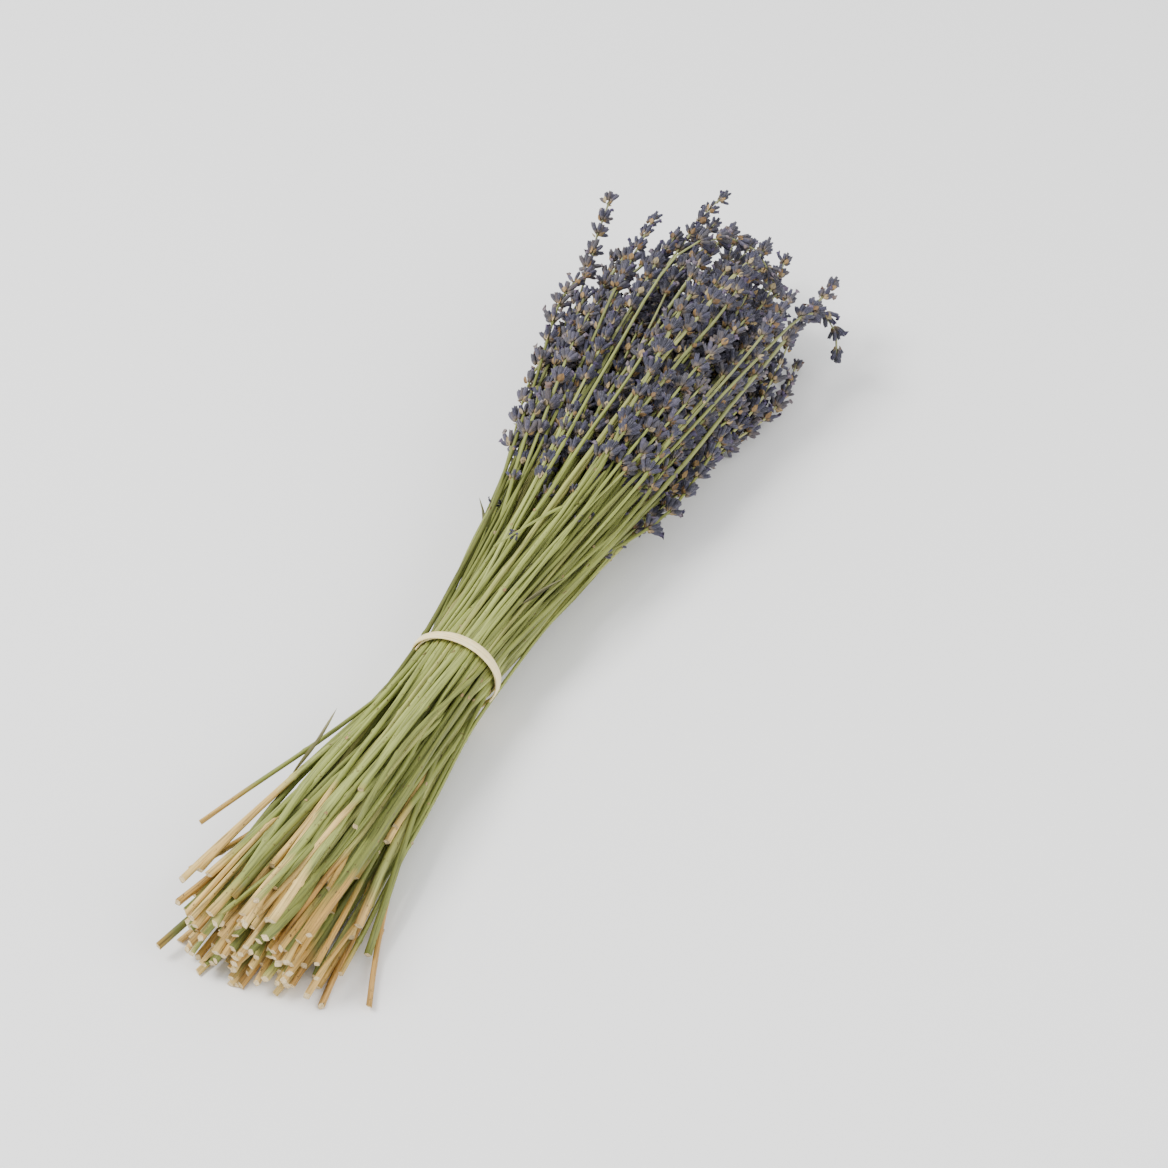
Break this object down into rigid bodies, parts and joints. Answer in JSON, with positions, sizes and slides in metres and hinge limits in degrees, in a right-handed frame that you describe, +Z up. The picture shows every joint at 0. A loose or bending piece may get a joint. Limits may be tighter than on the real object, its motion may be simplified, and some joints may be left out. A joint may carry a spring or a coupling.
{
  "type": "bunch of dried lavender",
  "caption": "Bunch of dried lavender lying on its side: thin square stems tied by a twice-wound rubber band, fanning out into spikes of small flower whorls.",
  "frame": {"origin": "on the table under the middle of the bunch's bounding box", "axes": "+X along the bunch from the cut ends to the flower heads, +Y to the left seen that way, +Z up from the table the bunch lies on"},
  "size_m": [0.4024, 0.1004, 0.0612],
  "materials": {
    "dried_lavender": "dry matt plant: pale green to straw stems and grey-violet flower spikes with tan bracts",
    "natural_rubber": "smooth cream natural rubber with a soft sheen"
  },
  "bodies": {
    "root": {"flower_stem_01": "dried_lavender", "flower_stem_02": "dried_lavender", "flower_stem_03": "dried_lavender", "flower_stem_04": "dried_lavender", "flower_stem_05": "dried_lavender", "flower_stem_06": "dried_lavender", "flower_stem_07": "dried_lavender", "flower_stem_08": "dried_lavender", "flower_stem_09": "dried_lavender", "flower_stem_10": "dried_lavender", "flower_stem_11": "dried_lavender", "flower_stem_12": "dried_lavender", "flower_stem_13": "dried_lavender", "flower_stem_14": "dried_lavender", "flower_stem_15": "dried_lavender", "flower_stem_16": "dried_lavender", "flower_stem_17": "dried_lavender", "flower_stem_18": "dried_lavender", "flower_stem_19": "dried_lavender", "flower_stem_20": "dried_lavender", "flower_stem_21": "dried_lavender", "flower_stem_22": "dried_lavender", "flower_stem_23": "dried_lavender", "flower_stem_24": "dried_lavender", "flower_stem_25": "dried_lavender", "flower_stem_26": "dried_lavender", "flower_stem_27": "dried_lavender", "flower_stem_28": "dried_lavender", "flower_stem_29": "dried_lavender", "flower_stem_30": "dried_lavender", "flower_stem_31": "dried_lavender", "flower_stem_32": "dried_lavender", "flower_stem_33": "dried_lavender", "flower_stem_34": "dried_lavender", "flower_stem_35": "dried_lavender", "flower_stem_36": "dried_lavender", "flower_stem_37": "dried_lavender", "flower_stem_38": "dried_lavender", "flower_stem_39": "dried_lavender", "flower_stem_40": "dried_lavender", "flower_stem_41": "dried_lavender", "flower_stem_42": "dried_lavender", "flower_stem_43": "dried_lavender", "flower_stem_44": "dried_lavender", "flower_stem_45": "dried_lavender", "flower_stem_46": "dried_lavender", "flower_stem_47": "dried_lavender", "flower_stem_48": "dried_lavender", "flower_stem_49": "dried_lavender", "flower_stem_50": "dried_lavender", "flower_stem_51": "dried_lavender", "flower_stem_52": "dried_lavender", "flower_stem_53": "dried_lavender", "flower_stem_54": "dried_lavender", "flower_stem_55": "dried_lavender", "flower_stem_56": "dried_lavender", "rubber_band": "natural_rubber"}
  },
  "joints": []
}
